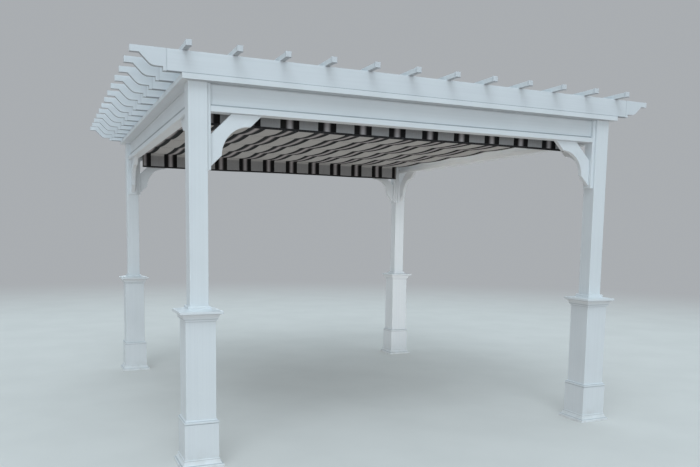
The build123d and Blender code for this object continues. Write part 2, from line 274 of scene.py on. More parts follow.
@dataclass(frozen=True)
class Vinyl(Finish):
    """Extruded or moulded white vinyl: faint streaks, broad mottling, a satin skin, dusty feet,
    and painted shade along dark joint lines and on faces that look down.

    Attributes:
        grain: The way the piece was drawn out.
        white: Clean colour.
        shade: Colour of the duller patches.
        dust: Colour of what settles on it.
        splash_height: Height, in metres, up to which rain has splashed dust.
        splash_share: Share of the dust's colour where it is thickest.
        specks_share: Share of the dust's colour in fine specks.
        joints: Heights of thin dark lines at joints and steps, in metres: the joint's own darkness
            with painted shade of the crevice.
        joint_width: Half the width of such a line, in metres, with its faded rim.
        line_core: Share of that width which is darkest.
        line_shade_colour: Colour of those lines and seams, and of the painted shade on faces that
            look down.
        lines_past: Distance from the middle, along X, past which such lines show.
        seams: Distances of upright joint lines from the middle, along X.
        seam_share: Share of the line colour in those.
        underside_shade: Share of the line colour on faces that look down, as painted shade.
    """

    grain: Grain
    white: Colour = (0.740, 0.775, 0.800)
    shade: Colour = (0.695, 0.730, 0.755)
    dust: Colour = (0.36, 0.33, 0.28)
    splash_height: float = 0.16
    splash_share: float = 0.26
    specks_share: float = 0.05
    joints: tuple[float, ...] = ()
    joint_width: float = 0.007
    line_core: float = 0.35
    line_shade_colour: Colour = (0.10, 0.12, 0.14)
    lines_past: float = 0.0
    seams: tuple[float, ...] = ()
    seam_share: float = 0.15
    underside_shade: float = 0.0

    def line(self, distance: Link) -> Link:
        """One on a dark line, and zero past its rim."""
        return distance.ramp(self.joint_width, self.line_core * self.joint_width)

    def draw(self, graph: Graph) -> None:
        """Adds the streaks and mottling, then the soiling, the dark lines with their painted shade
        and the painted shade on faces that look down.
        """
        place = graph.place()
        streaks = graph.noise(graph.place(self.grain.value), 1.0, 3.0)
        patches = graph.noise(place, 3.1, 3.0)
        grit = graph.noise(place, 85.0, 4.0)
        height = graph.axis(place, "Z")

        dull = 0.55 * patches.ramp(0.35, 0.75) + 0.45 * streaks.ramp(0.35, 0.7)
        splash = (
            height.ramp(self.splash_height, 0.0) * graph.noise(place, 17.0, 5.0).ramp(0.35, 0.75)
        )
        specks = grit.ramp(0.60, 0.72) * graph.noise(place, 6.0).ramp(0.4, 0.7)
        dusted = self.splash_share * splash + self.specks_share * specks
        clean = graph.blend(dull, self.white, self.shade)
        soiled_and_shaded = graph.blend(dusted, clean, self.dust)
        # Dark lines at joints and steps: the joint's own darkness with painted shade of the
        # crevice.
        for line_height in self.joints:
            near = self.line(abs(height - line_height))
            if self.lines_past:
                near = near * (abs(graph.axis(place, "X")) > self.lines_past)
            soiled_and_shaded = graph.blend(near * (0.35 + 0.5 * patches), soiled_and_shaded, self.line_shade_colour)
        for seam in self.seams:
            near = self.line(abs(abs(graph.axis(place, "X")) - seam))
            soiled_and_shaded = graph.blend(self.seam_share * near, soiled_and_shaded, self.line_shade_colour)
        # Painted shade on faces that look down.
        if self.underside_shade:
            facing = graph.axis(graph.node("ShaderNodeTexCoord", {}, "Normal"), "Z")
            shaded = self.underside_shade * facing.ramp(-0.3, -0.8)
            soiled_and_shaded = graph.blend(shaded, soiled_and_shaded, self.line_shade_colour)

        skin = 0.6 * graph.noise(place, 210.0) + 0.4 * streaks
        graph.surface({
            "Base Color": soiled_and_shaded,
            "Roughness": 0.33 + 0.10 * patches + 0.25 * splash + 0.06 * streaks,
            "Normal": graph.bump(skin, 0.0004, 0.35),
            "IOR": 1.5,
        })


@dataclass(frozen=True)
class PowderCoat(Finish):
    """White powder coat on aluminium: a fine pebbled skin with rubbed places.

    Attributes:
        paint: Colour of the coat.
        rubbed: Colour where pieces slide on it.
    """

    paint: Colour = (0.62, 0.64, 0.65)
    rubbed: Colour = (0.40, 0.41, 0.42)

    def draw(self, graph: Graph) -> None:
        """Adds the pebbled skin and the rubbed places."""
        place = graph.place()
        worn = graph.noise(graph.place((40.0, 4.0, 40.0)), 1.0, 4.0).ramp(0.58, 0.75)
        pebbles = graph.noise(place, 420.0, 2.0)
        graph.surface({
            "Base Color": graph.blend(0.5 * worn, self.paint, self.rubbed),
            "Roughness": 0.42 + 0.15 * worn + 0.08 * pebbles,
            "Normal": graph.bump(pebbles, 0.0003, 0.4),
        })


@dataclass(frozen=True)
class StripedCloth(Finish):
    """Woven outdoor fabric: grey, with pairs of near-black stripes that fade to a light line.

    The pattern follows the cloth: U is the place across it and V the place along it, in metres.

    Attributes:
        repeat: Distance from one pair of stripes to the next.
        black_width: Width of each black stripe.
        light_width: Width of the faded band between them.
        start: U where a pair starts.
        grey: Colour of the plain bands.
        roof_backlit: Colour of the plain bands on the roof, lighter than the hanging ends: painted
            light for daylight shining through the fabric.
        heather: Colour of the paler fibres in the plain bands.
        roof_height: Height, in metres, above which the cloth is roof.
        black: Colour of the stripes.
        light: Colour in the middle of the faded band.
        dust: Colour of what settles on the cloth.
        rib_pitch: Distance from one rib of the weave to the next.
    """

    repeat: float = 0.2945
    black_width: float = 0.050
    light_width: float = 0.047
    start: float = -1.362
    grey: Colour = (0.350, 0.352, 0.360)
    roof_backlit: Colour = (0.515, 0.515, 0.510)
    heather: Colour = (0.55, 0.55, 0.54)
    roof_height: float = 2.462
    black: Colour = (0.0065, 0.006, 0.0065)
    light: Colour = (0.500, 0.475, 0.485)
    dust: Colour = (0.42, 0.38, 0.33)
    rib_pitch: float = 0.0024

    def draw(self, graph: Graph) -> None:
        """Adds the stripes, the fading and the weave."""
        cloth = graph.node("ShaderNodeUVMap", {}, uv_map="cloth")
        across = graph.axis(cloth, "X")
        along = graph.axis(cloth, "Y")
        wander = 0.0012 * graph.noise(cloth, 9.0) - 0.0006
        middle = self.black_width + self.light_width / 2
        from_middle = abs((across + wander - self.start).wrapped(self.repeat) - middle)

        edge = 0.0015
        in_pair = from_middle.ramp(middle + edge, middle - edge)
        fade = from_middle.ramp(self.light_width / 2 + 0.012, 0.002)
        stripe = graph.blend(fade, self.black, self.light)
        yarn_across = graph.noise(graph.stretched(cloth, (900.0, 40.0, 1.0)), 1.0)
        yarn_along = graph.noise(graph.stretched(cloth, (40.0, 900.0, 1.0)), 1.0)
        yarns = 0.5 * yarn_across + 0.5 * yarn_along
        fibres = graph.noise(graph.stretched(cloth, (260.0, 3.0, 1.0)), 1.0, 3.0)
        dusty = graph.noise(cloth, 2.3, 4.0).ramp(0.35, 0.8)

        height = graph.axis(graph.place(), "Z")
        # Painted light: the roof's plain bands are lighter, standing for daylight that shines
        # through the fabric.
        roof = height.ramp(self.roof_height - 0.010, self.roof_height)
        base = graph.blend(roof, self.grey, self.roof_backlit)
        plain = graph.blend(0.25 * fibres.ramp(0.3, 0.7), base, self.heather)
        striped = graph.blend(in_pair, plain, stripe)
        woven = graph.blend(0.22 * yarns.ramp(0.3, 0.7), striped, (0.0, 0.0, 0.0))
        faded = graph.blend(0.02 * dusty, woven, self.dust)
        ribs = graph.maths("SINE", along * 2 * math.pi / self.rib_pitch)
        weave = 0.6 * yarns + 0.2 * (ribs + 1.0)
        graph.surface({
            "Base Color": faded,
            "Roughness": 0.82 + 0.1 * yarns,
            "Normal": graph.bump(weave, 0.0005, 0.5),
            "Specular IOR Level": 0.2,
        })


@dataclass(frozen=True)
class Tape(Finish):
    """Woven edging tape or thread in one colour, with a fine rib.

    Attributes:
        colour: Colour of the yarn.
        worn: Colour where it is rubbed.
    """

    colour: Colour = (0.013, 0.012, 0.013)
    worn: Colour = (0.045, 0.042, 0.042)

    def draw(self, graph: Graph) -> None:
        """Adds the rib and the rubbed places."""
        place = graph.place()
        rub = graph.noise(place, 60.0, 4.0)
        rib = graph.noise(graph.place((500.0, 500.0, 900.0)), 1.0)
        graph.surface({
            "Base Color": graph.blend(rub.ramp(0.45, 0.75), self.colour, self.worn),
            "Roughness": 0.75 + 0.15 * rub,
            "Normal": graph.bump(rib, 0.0004, 0.5),
        })


# Dark lines, joints with painted shade of their crevices, lie at the steps of a section, measured
# from these heights and distances.
BEAM_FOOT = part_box("beam_front")[0].z
BEAM_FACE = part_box("beam_right")[1].x
RAFTER_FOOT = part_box("rafters")[0].z
RAFTER_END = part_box("rafters")[1].x
CAP_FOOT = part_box("pedestal_cap_front_left")[0].z
PLINTH_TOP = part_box("pedestal_plinth_front_left")[1].z
PLINTH_BAND = PLINTH_TOP - 0.025
# Colour of the softer lines on the mouldings: painted shade in their steps.
SOFT_SHADE_LINE = (0.34, 0.37, 0.39)
MOULDED_WHITE, MOULDED_SHADE = (0.750, 0.785, 0.810), (0.705, 0.735, 0.760)
UPRIGHT_VINYL = Vinyl("upright_vinyl", Grain.UPRIGHT)
# The lines on the plinths, bases, pedestal boxes and caps are painted shade under the steps of
# their mouldings.
PLINTH_VINYL = Vinyl(
    "plinth_vinyl", Grain.UPRIGHT, joints=(PLINTH_TOP - 0.009, PLINTH_BAND - 0.0015),
    joint_width=0.004, line_shade_colour=SOFT_SHADE_LINE,
)
# The base mouldings are lighter than the other vinyl: painted highlight for the light their ridges
# catch.
BASE_VINYL = Vinyl(
    "base_vinyl", Grain.MOULDED, (0.800, 0.830, 0.850), (0.760, 0.790, 0.810),
    joints=(0.022, 0.0535), joint_width=0.0025, line_shade_colour=SOFT_SHADE_LINE,
)
PEDESTAL_VINYL = Vinyl(
    "pedestal_vinyl", Grain.UPRIGHT, joints=(CAP_FOOT,), joint_width=0.005, line_shade_colour=SOFT_SHADE_LINE,
)
CAP_VINYL = Vinyl(
    "cap_vinyl", Grain.MOULDED, MOULDED_WHITE, MOULDED_SHADE,
    joints=(CAP_FOOT + 0.0145, CAP_FOOT + 0.051), joint_width=0.004, line_shade_colour=SOFT_SHADE_LINE,
)
FRONT_VINYL = Vinyl("lengthwise_vinyl", Grain.ALONG_X)
SIDE_VINYL = Vinyl("crosswise_vinyl", Grain.ALONG_Y)
# The line over each rail is painted contact shadow between board and rail, with the joint itself.
FRONT_BEAM = Vinyl("lengthwise_beam_vinyl", Grain.ALONG_X, joints=(BEAM_FOOT + 0.007,))
SIDE_BEAM = Vinyl(
    "crosswise_beam_vinyl", Grain.ALONG_Y, joints=(BEAM_FOOT + 0.030,), joint_width=0.010,
    lines_past=BEAM_FACE - 0.002,
)
# Rafters are darker than the posts' vinyl: painted shade. The line at their foot and their
# undersides are painted shade too; the seam at the tails is a real joint.
RAFTER_VINYL = Vinyl(
    "rafter_vinyl", Grain.ALONG_X, (0.710, 0.745, 0.775), (0.665, 0.700, 0.730),
    joints=(RAFTER_FOOT,), seams=(RAFTER_END,), underside_shade=0.25,
)
# The tails are darker still: painted shade, with more painted shade on their curved undersides.
TAIL_VINYL = Vinyl(
    "tail_vinyl", Grain.MOULDED, (0.680, 0.715, 0.745), (0.635, 0.670, 0.700),
    joint_width=0.004, seams=(RAFTER_END,), underside_shade=0.45,
)
# Painted shade on the undersides of the front and rear ledges and of the purlins.
LEDGE_VINYL = Vinyl("ledge_vinyl", Grain.ALONG_X, underside_shade=0.35)
PURLIN_VINYL = Vinyl("purlin_vinyl", Grain.ALONG_Y, underside_shade=0.5)
# The purlin caps are darker than the other vinyl: painted shade on their end faces, and on their
# undersides.
PURLIN_CAP_VINYL = Vinyl(
    "purlin_cap_vinyl", Grain.MOULDED, (0.640, 0.670, 0.700), (0.590, 0.620, 0.650),
    underside_shade=0.5,
)
MOULDED_VINYL = Vinyl("moulded_vinyl_finish", Grain.MOULDED, MOULDED_WHITE, MOULDED_SHADE)
POWDER_COAT = PowderCoat("powder_coat")
STRIPES = StripedCloth("striped_cloth")
HEM_TAPE = Tape("hem_tape")
SIDE_TAPE = Tape("side_tape", (0.20, 0.195, 0.19), (0.26, 0.25, 0.24))
THREAD = Tape("thread", (0.028, 0.026, 0.026), (0.07, 0.066, 0.064))


def put_mesh(name: str, points: np.ndarray, faces: np.ndarray,
             cloth: np.ndarray | None = None, smooth: bool = True) -> bpy.types.Object:
    """Makes an object at the origin from whole arrays.

    Args:
        name: Name of the object.
        points: Corner places, one row for each.
        faces: Corner numbers of each four-sided face.
        cloth: Place of each corner on the flat cloth, for the UV map.
        smooth: Whether the faces are shaded smooth.

    Returns:
        The new object.
    """
    mesh = bpy.data.meshes.new(name)
    mesh.vertices.add(len(points))
    mesh.vertices.foreach_set("co", points.astype(np.float32).ravel())
    mesh.loops.add(faces.size)
    mesh.loops.foreach_set("vertex_index", faces.astype(np.int32).ravel())
    mesh.polygons.add(len(faces))
    mesh.polygons.foreach_set("loop_start", np.arange(len(faces), dtype=np.int32) * 4)
    mesh.polygons.foreach_set("use_smooth", np.full(len(faces), smooth))
    if cloth is not None:
        layer = mesh.uv_layers.new(name="cloth")
        layer.data.foreach_set("uv", cloth[faces.ravel()].astype(np.float32).ravel())
    mesh.update(calc_edges=True)
    mesh.validate()
    new = bpy.data.objects.new(name, mesh)
    bpy.context.scene.collection.objects.link(new)
    return new


def grid_faces(rows: int, columns: int, closed: bool = False) -> np.ndarray:
    """Four-sided faces of a grid whose corners are numbered row by row.

    Face (i, j) joins corners (i, j), (i, j + 1), (i + 1, j + 1) and (i + 1, j).

    Args:
        rows: Number of rows of corners.
        columns: Number of corners in a row.
        closed: Whether the last column joins the first.

    Returns:
        Corner numbers, one row for each face.
    """
    last = columns if closed else columns - 1
    i, j = np.meshgrid(np.arange(rows - 1), np.arange(last), indexing="ij")
    right = (j + 1) % columns
    here, there = i * columns, (i + 1) * columns
    return np.stack((here + j, here + right, there + right, there + j), -1).reshape(-1, 4)


def bar_faces(rows: int, columns: int) -> np.ndarray:
    """Faces of a closed loop carried along a path, with both ends filled in.

    The loop runs clockwise seen along the path, and its point k lies opposite its point
    k from the end, so an end is a ladder of four-sided faces (k, k + 1, n - 2 - k, n - 1 - k).

    Args:
        rows: Number of points of the path.
        columns: Number of points of the loop, n, which is even.

    Returns:
        Corner numbers, one row for each face.
    """
    k = np.arange(columns // 2 - 1)
    end = np.stack([k, k + 1, columns - 2 - k, columns - 1 - k], -1)
    round_faces = grid_faces(rows, columns, closed=True)
    return np.concatenate([round_faces, end[:, ::-1], end + (rows - 1) * columns])


def carry(profile: np.ndarray, path: np.ndarray, side: np.ndarray, up: np.ndarray) -> np.ndarray:
    """Carries a flat profile along a path.

    Point (i, j) is path point i, plus the profile's first number times the side direction
    there, plus its second number times the up direction there.

    Args:
        profile: Points of the profile, two numbers each.
        path: Points of the path.
        side: Direction of the profile's first axis at each path point.
        up: Direction of its second axis at each path point.

    Returns:
        Corner places, path point by path point.
    """
    across = profile[None, :, 0:1] * side[:, None, :]
    upward = profile[None, :, 1:2] * up[:, None, :]
    return (path[:, None, :] + across + upward).reshape(-1, 3)


def unit(vectors: np.ndarray) -> np.ndarray:
    """Each row brought to length one."""
    return vectors / np.linalg.norm(vectors, axis=1, keepdims=True)


def solidify(piece: bpy.types.Object, thickness: float) -> None:
    """Gives a sheet its thickness, half to each side."""
    modifier = piece.modifiers.new("thickness", "SOLIDIFY")
    modifier.thickness = thickness
    modifier.offset = 0.0


def dress(piece: bpy.types.Object, material: bpy.types.Material) -> None:
    """Puts one material on a new piece or in all slots of a frame node."""
    if not piece.material_slots:
        piece.data.materials.append(material)
    for material_slot in piece.material_slots:
        material_slot.material = material


def finish_piece(piece: bpy.types.Object, finish: Finish) -> bpy.types.Object:
    """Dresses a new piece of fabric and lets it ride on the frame.

    Args:
        piece: The new object.
        finish: Its finish.

    Returns:
        The same object.
    """
    dress(piece, finish.material)
    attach(piece, BODY)
    return piece


@dataclass
class VinylFrame:
    """Everything that is white vinyl or aluminium: which finish each node of the frame takes.

    Attributes:
        at_corners: Stem of the name, and finish, of each piece that stands at every corner.
        elsewhere: Finish of the other nodes, and their names.
    """

    at_corners: tuple[tuple[str, Finish], ...] = (
        ("post", UPRIGHT_VINYL), ("brackets", MOULDED_VINYL), ("pedestal_box", PEDESTAL_VINYL),
        ("pedestal_cap", CAP_VINYL), ("pedestal_plinth", PLINTH_VINYL),
        ("base_moulding", BASE_VINYL),
    )
    elsewhere: tuple[tuple[Finish, tuple[str, ...]], ...] = (
        (MOULDED_VINYL, ("post_collars",)),
        (UPRIGHT_VINYL, ("mounting_strips",)),
        (FRONT_BEAM, ("beam_front", "beam_rear")),
        (SIDE_BEAM, ("beam_left", "beam_right")),
        (FRONT_VINYL, ("beam_rail_front", "beam_rail_rear")),
        (SIDE_VINYL, ("beam_rail_left", "beam_rail_right", "ledge_left", "ledge_right")),
        (LEDGE_VINYL, ("ledge_front", "ledge_rear")),
        (RAFTER_VINYL, ("rafters",)),
        (TAIL_VINYL, ("rafter_caps_left", "rafter_caps_right")),
        (PURLIN_VINYL, ("purlins",)),
        (PURLIN_CAP_VINYL, ("purlin_caps",)),
        (POWDER_COAT, ("canopy_battens", "canopy_tracks")),
    )

    def finishes(self) -> dict[str, Finish]:
        """The finish of each node, by its name."""
        chosen = {
            f"{stem}_{corner}": finish for corner in CORNERS for stem, finish in self.at_corners
        }
        for finish, nodes in self.elsewhere:
            chosen.update(dict.fromkeys(nodes, finish))
        return chosen

    def build(self) -> list[bpy.types.Object]:
        """Dresses every node of the frame.

        Returns:
            The dressed nodes.
        """
        finishes = self.finishes()
        for node, finish in finishes.items():
            dress(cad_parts[node], finish.material)
        return [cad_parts[node] for node in finishes]


@dataclass
class Canopy:
    """Striped fabric slung in slack bays under the battens, with a hanging end front and rear.

    Attributes:
        bays: Number of slack bays.
        batten: Width of a batten.
        thickness: Thickness of the fabric.
        sag: Depth of a bay's slack curve.
        cells_across: Grid cells across the fabric.
        cells_per_bay: Grid cells along one bay.
        front_turn: Radius where the fabric turns down at the front.
        rear_turn: Radius where it turns down at the rear.
        hem_width: Width of the edging tape.
        tape_thickness: Thickness of that tape.
        sleeve_gap: Room between a batten and the sleeve round it.
        sleeve_flap: Width of the sewn flap on each side of a sleeve.
        sleeve_corner: Radius of a sleeve's two corners.
        sleeve_thickness: Thickness of a sleeve.
        sleeve_inset: Distance of a sleeve's ends from the edges of the fabric.
        stitch: Length of a stitch.
        stitch_pitch: Distance from one stitch to the next.
        stitch_rise: Distance of a stitch's middle from what it is sewn to.
        thread: Half the thickness of the thread.
        seam_inset: Distance of the stitches from the inner edge of a tape.
        ripple: Largest movement of the hems out of line.
    """

    bays: int = 5
    batten: float = 0.019
    thickness: float = 0.0012
    sag: float = 0.0145
    cells_across: int = 214
    cells_per_bay: int = 22
    front_turn: float = 0.009
    rear_turn: float = 0.020
    hem_width: float = 0.015
    tape_thickness: float = 0.0008
    sleeve_gap: float = 0.0012
    sleeve_flap: float = 0.014
    sleeve_corner: float = 0.003
    sleeve_thickness: float = 0.0009
    sleeve_inset: float = 0.02
    stitch: float = 0.0045
    stitch_pitch: float = 0.0075
    stitch_rise: float = 0.0003
    thread: float = 0.0006
    seam_inset: float = 0.002
    ripple: float = 0.006

    def __post_init__(self) -> None:
        """Takes the places of the fabric, its ends and the battens from the frame."""
        low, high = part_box("canopy")
        first, last = (corner.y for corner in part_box("canopy_battens"))
        self.left, self.right = low.x, high.x
        self.top = high.z - self.thickness
        self.battens = np.linspace(first + self.batten / 2, last - self.batten / 2, self.bays + 1)
        self.turns = {End.FRONT: self.front_turn, End.REAR: self.rear_turn}
        self.drops: dict[End, float] = {}
        self.lines: dict[End, float] = {}
        for end, node in ((End.FRONT, "valance_front"), (End.REAR, "valance_rear")):
            low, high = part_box(node)
            self.drops[end] = self.top - low.z
            self.lines[end] = (low.y + high.y) / 2

    def slack(self, x: np.ndarray, y: np.ndarray) -> np.ndarray:
        """Height of the fabric at any place.

        Between two battens the fabric is a parabola 4 t (1 - t) deep in the middle, where t
        runs from 0 to 1 over the clear span, and it is flat under each batten. The depth
        differs a little from bay to bay and across a bay, as a sum of slow sines, and
        creases, which are faster slanted sines, grow with the same parabola.

        Args:
            x: Places across the fabric.
            y: Places along it.

        Returns:
            Heights, in metres.
        """
        step = self.battens[1] - self.battens[0]
        bay = np.clip(np.floor((y - self.battens[0]) / step), 0, self.bays - 1)
        clear = step - self.batten
        t = np.clip((y - self.battens[0] - bay * step - self.batten / 2) / clear, 0, 1)
        belly = 4 * t * (1 - t)
        depth = self.sag * (
            1 + 0.10 * np.sin(1.9 * x + 2.3 * bay) + 0.06 * np.sin(3.7 * x - 1.1 * bay + 0.8)
        )
        crease = (
            0.0012 * np.sin(11 * x + 5 * y + 1.7 * bay) + 0.0008 * np.sin(23 * x - 9 * y + bay)
            + 0.0005 * np.sin(41 * x + 17 * y)
        )
        return self.top - belly * (depth + crease)

    def along(self) -> np.ndarray:
        """Places along the roof: closer together at the battens, where it bends."""
        even = np.linspace(0, 1, self.cells_per_bay + 1)
        eased = 0.5 * even + 0.5 * (3 * even**2 - 2 * even**3)
        first = self.battens[:-1, None] + self.batten / 2
        last = self.battens[1:, None] - self.batten / 2
        return (first + (last - first) * eased).ravel()

    @staticmethod
    def run_length(line: np.ndarray) -> np.ndarray:
        """Distance along a line of points, from its first point."""
        steps = np.linalg.norm(np.diff(line, axis=0), axis=1)
        return np.concatenate([[0.0], np.cumsum(steps)])

    def wave(self, x: np.ndarray, end: End) -> np.ndarray:
        """How far a hem stands out of line: three sines of different lengths."""
        phase = 1.3 * end
        return self.ripple * (
            0.55 * np.sin(2.1 * x + phase) + 0.3 * np.sin(5.3 * x - 2 * phase)
            + 0.15 * np.sin(12.7 * x + 0.4)
        )

    def fall(self, x: np.ndarray, down: np.ndarray, end: End) -> np.ndarray:
        """Place of a hanging end, from the roof, round a quarter turn and down.

        With s the distance down the cloth, it turns by the angle s / radius and then hangs
        straight. The wave grows as the square of the share of the drop, and the hem rises a
        little where it stands out.

        Args:
            x: Places across the fabric.
            down: Distances along the cloth, from where it leaves the roof.
            end: Which of the two ends it is.

        Returns:
            Points, in the shape of x and down.
        """
        radius = self.turns[end]
        angle = np.clip(down / radius, 0, math.pi / 2)
        hanging = np.maximum(down - radius * math.pi / 2, 0)
        share = hanging / (self.drops[end] - radius)
        stand = np.abs(self.wave(x, end)) * share**2
        out = self.lines[end] - end * (radius * (1 - np.sin(angle)) + stand)
        height = self.top - radius * (1 - np.cos(angle)) - hanging
        lift = 0.25 * stand + 0.002 * share * np.sin(3.1 * x + end)
        return np.stack([x, out, height + lift], -1)

    def hem_length(self, end: End) -> float:
        """Cloth length from the start of the turn to the hem."""
        radius = self.turns[end]
        return self.drops[end] - radius + radius * math.pi / 2

    def down_steps(self, end: End) -> np.ndarray:
        """Distances down a hanging end: short steps round the turn, longer ones below it."""
        turned = self.turns[end] * math.pi / 2
        round_steps = np.linspace(0, turned, 9)
        below = np.linspace(turned, self.hem_length(end), 17)
        return np.concatenate([round_steps, below[1:]])

    def cloth_grid(self) -> np.ndarray:
        """The whole cloth as one grid: up the front end, over the roof and down the rear end.

        Rows follow the cloth from the front hem to the rear hem, and columns run across it.
        The ends are fall(x, down, end) and the roof is slack(x, y).

        Returns:
            Points, in rows and columns.
        """
        x = np.linspace(self.left, self.right, self.cells_across + 1)
        front_down, front_x = np.meshgrid(self.down_steps(End.FRONT)[::-1], x, indexing="ij")
        roof_y, roof_x = np.meshgrid(self.along(), x, indexing="ij")
        rear_down, rear_x = np.meshgrid(self.down_steps(End.REAR), x, indexing="ij")
        roof = np.stack([roof_x, roof_y, self.slack(roof_x, roof_y)], -1)
        front = self.fall(front_x, front_down, End.FRONT)
        rear = self.fall(rear_x, rear_down, End.REAR)
        return np.concatenate([front, roof, rear])

    def cloth(self, grid: np.ndarray) -> bpy.types.Object:
        """The fabric in one piece. Its UV map is the flat cloth: U across, V along.

        Args:
            grid: Points of the cloth, in rows and columns.

        Returns:
            The new piece.
        """
        rows, columns = grid.shape[:2]
        run = self.run_length(grid[:, columns // 2])
        flat = np.stack(np.meshgrid(run, grid[0, :, 0], indexing="ij")[::-1], -1)
        faces = grid_faces(rows, columns)
        piece = put_mesh("canopy_cloth", grid.reshape(-1, 3), faces, flat.reshape(-1, 2))
        solidify(piece, self.thickness)
        return finish_piece(piece, STRIPES)

    def tape_profile(self) -> np.ndarray:
        """Folded edging tape in section: down one side, round the fold and up the other side."""
        half = self.thickness / 2 + self.tape_thickness
        turn = np.linspace(0, math.pi, 8)
        fold = np.stack([half * np.cos(turn), -half * np.sin(turn)], -1)
        return np.concatenate([[[half, self.hem_width]], fold, [[-half, self.hem_width]]])

    def binding(self, name: str, edge: np.ndarray, inner: np.ndarray,
                tape: Tape) -> bpy.types.Object:
        """Edging tape carried along an edge of the fabric.

        The tape's section stands on the edge: its height points from the edge to the inner
        line, and its width lies along the path's direction crossed with that height.

        Args:
            name: Name of the piece.
            edge: Points of the edge.
            inner: Point of the cloth, inward from each edge point.
            tape: Finish of the tape.

        Returns:
            The new piece.
        """
        along = unit(np.gradient(edge, axis=0))
        up = unit(inner - edge)
        profile = self.tape_profile()
        points = carry(profile, edge, np.cross(along, up), up)
        piece = put_mesh(name, points, bar_faces(len(edge), len(profile)))
        return finish_piece(piece, tape)

    def bindings(self, grid: np.ndarray) -> list[bpy.types.Object]:
        """Dark tapes on the two hems and grey ones on the two side edges.

        Args:
            grid: Points of the cloth.

        Returns:
            The four new pieces.
        """
        x = grid[0, :, 0]
        inward = 0.02
        made = []
        for end, name in ((End.FRONT, "hem_tape_front"), (End.REAR, "hem_tape_rear")):
            length = self.hem_length(end)
            hem = self.fall(x, np.full_like(x, length), end)
            above = self.fall(x, np.full_like(x, length - inward), end)
            made.append(self.binding(name, hem, above, HEM_TAPE))
        made.append(self.binding("side_tape_left", grid[:, 0], grid[:, 1], SIDE_TAPE))
        made.append(self.binding("side_tape_right", grid[:, -1], grid[:, -2], SIDE_TAPE))
        return made

    def sleeve_line(self) -> np.ndarray:
        """Section of a sleeve: a flap, up round three sides of the batten, and a flap again.

        Each point is a place across the batten and a height over the fabric. The second half
        mirrors the first.

        Returns:
            Points, two numbers each.
        """
        half = self.batten / 2 + self.sleeve_gap
        rise = self.batten + 2 * self.sleeve_gap
        corner = self.sleeve_corner
        turn = np.linspace(0, math.pi / 2, 5)
        flap = np.array([
            [-half - self.sleeve_flap, 0.0008], [-half - self.sleeve_flap / 2, 0.0008],
            [-half - 0.002, 0.0012], [-half, 0.004],
        ])
        across = -half + corner - corner * np.cos(turn)
        height = rise - corner + corner * np.sin(turn)
        half_line = np.concatenate([flap, np.stack([across, height], -1)])
        return np.concatenate([half_line, half_line[::-1] * [-1, 1]])

    def sleeves(self) -> bpy.types.Object:
        """Fabric sleeves sewn over the battens: the section carried along X for each batten."""
        first, last = self.left + self.sleeve_inset, self.right - self.sleeve_inset
        x = np.linspace(first, last, self.cells_across // 2 + 1)
        line = self.sleeve_line()
        across = self.run_length(line)
        side = np.tile([0.0, 1.0, 0.0], (len(x), 1))
        up = np.tile([0.0, 0.0, 1.0], (len(x), 1))
        apart_in_map = 0.1
        points, cloth, faces = [], [], []
        for number, place in enumerate(self.battens):
            slip = 0.0007 * np.sin(4.1 * x + number)
            path = np.stack([x, np.full_like(x, place) + slip, np.full_like(x, self.top)], -1)
            flat = np.meshgrid(x, across + apart_in_map * number, indexing="ij")
            faces.append(grid_faces(len(x), len(line))[:, ::-1] + number * len(x) * len(line))
            points.append(carry(line, path, side, up))
            cloth.append(np.stack(flat, -1).reshape(-1, 2))
        whole = (np.concatenate(part) for part in (points, faces, cloth))
        piece = put_mesh("batten_sleeves", *whole)
        solidify(piece, self.sleeve_thickness)
        return finish_piece(piece, STRIPES)

    def stitch_rows(self) -> list[tuple[np.ndarray, np.ndarray]]:
        """Middle of every stitch and its direction, row by row.

        Each row runs at a set distance from a hem, an edge or a batten, on the underside or
        the outer face, with one stitch for each pitch.

        Returns:
            Pairs of places and unit directions.
        """
        rows = []
        crosswise_inset, lengthwise_inset = 0.03, 0.02
        x = np.arange(self.left + crosswise_inset, self.right - crosswise_inset, self.stitch_pitch)
        across = np.tile([1.0, 0.0, 0.0], (len(x), 1))
        lift = self.thickness / 2 + self.stitch_rise
        front = self.lines[End.FRONT] + self.turns[End.FRONT]
        rear = self.lines[End.REAR] - self.turns[End.REAR]
        from_batten = self.batten / 2 + self.sleeve_flap * 0.55
        for place in self.battens:
            for offset in (-from_batten, from_batten):
                y = np.full_like(x, place + offset)
                if front < y[0] < rear:
                    rows.append((np.stack([x, y, self.slack(x, y) - lift], -1), across))
        for end in End:
            down = np.full_like(x, self.hem_length(end) - self.hem_width + self.seam_inset)
            line = self.fall(x, down, end)
            for face in (-1.0, 1.0):
                out = np.array([0.0, face * (lift + self.tape_thickness), 0.0])
                rows.append((line + out, across))
        first, last = self.battens[0] + lengthwise_inset, self.battens[-1] - lengthwise_inset
        y = np.arange(first, last, self.stitch_pitch)
        for edge, inward in ((self.left, 1.0), (self.right, -1.0)):
            place = np.full_like(y, edge + inward * (self.hem_width - self.seam_inset))
            line = np.stack([place, y, self.slack(place, y) - lift - self.tape_thickness], -1)
            rows.append((line, unit(np.gradient(line, axis=0))))
        return rows

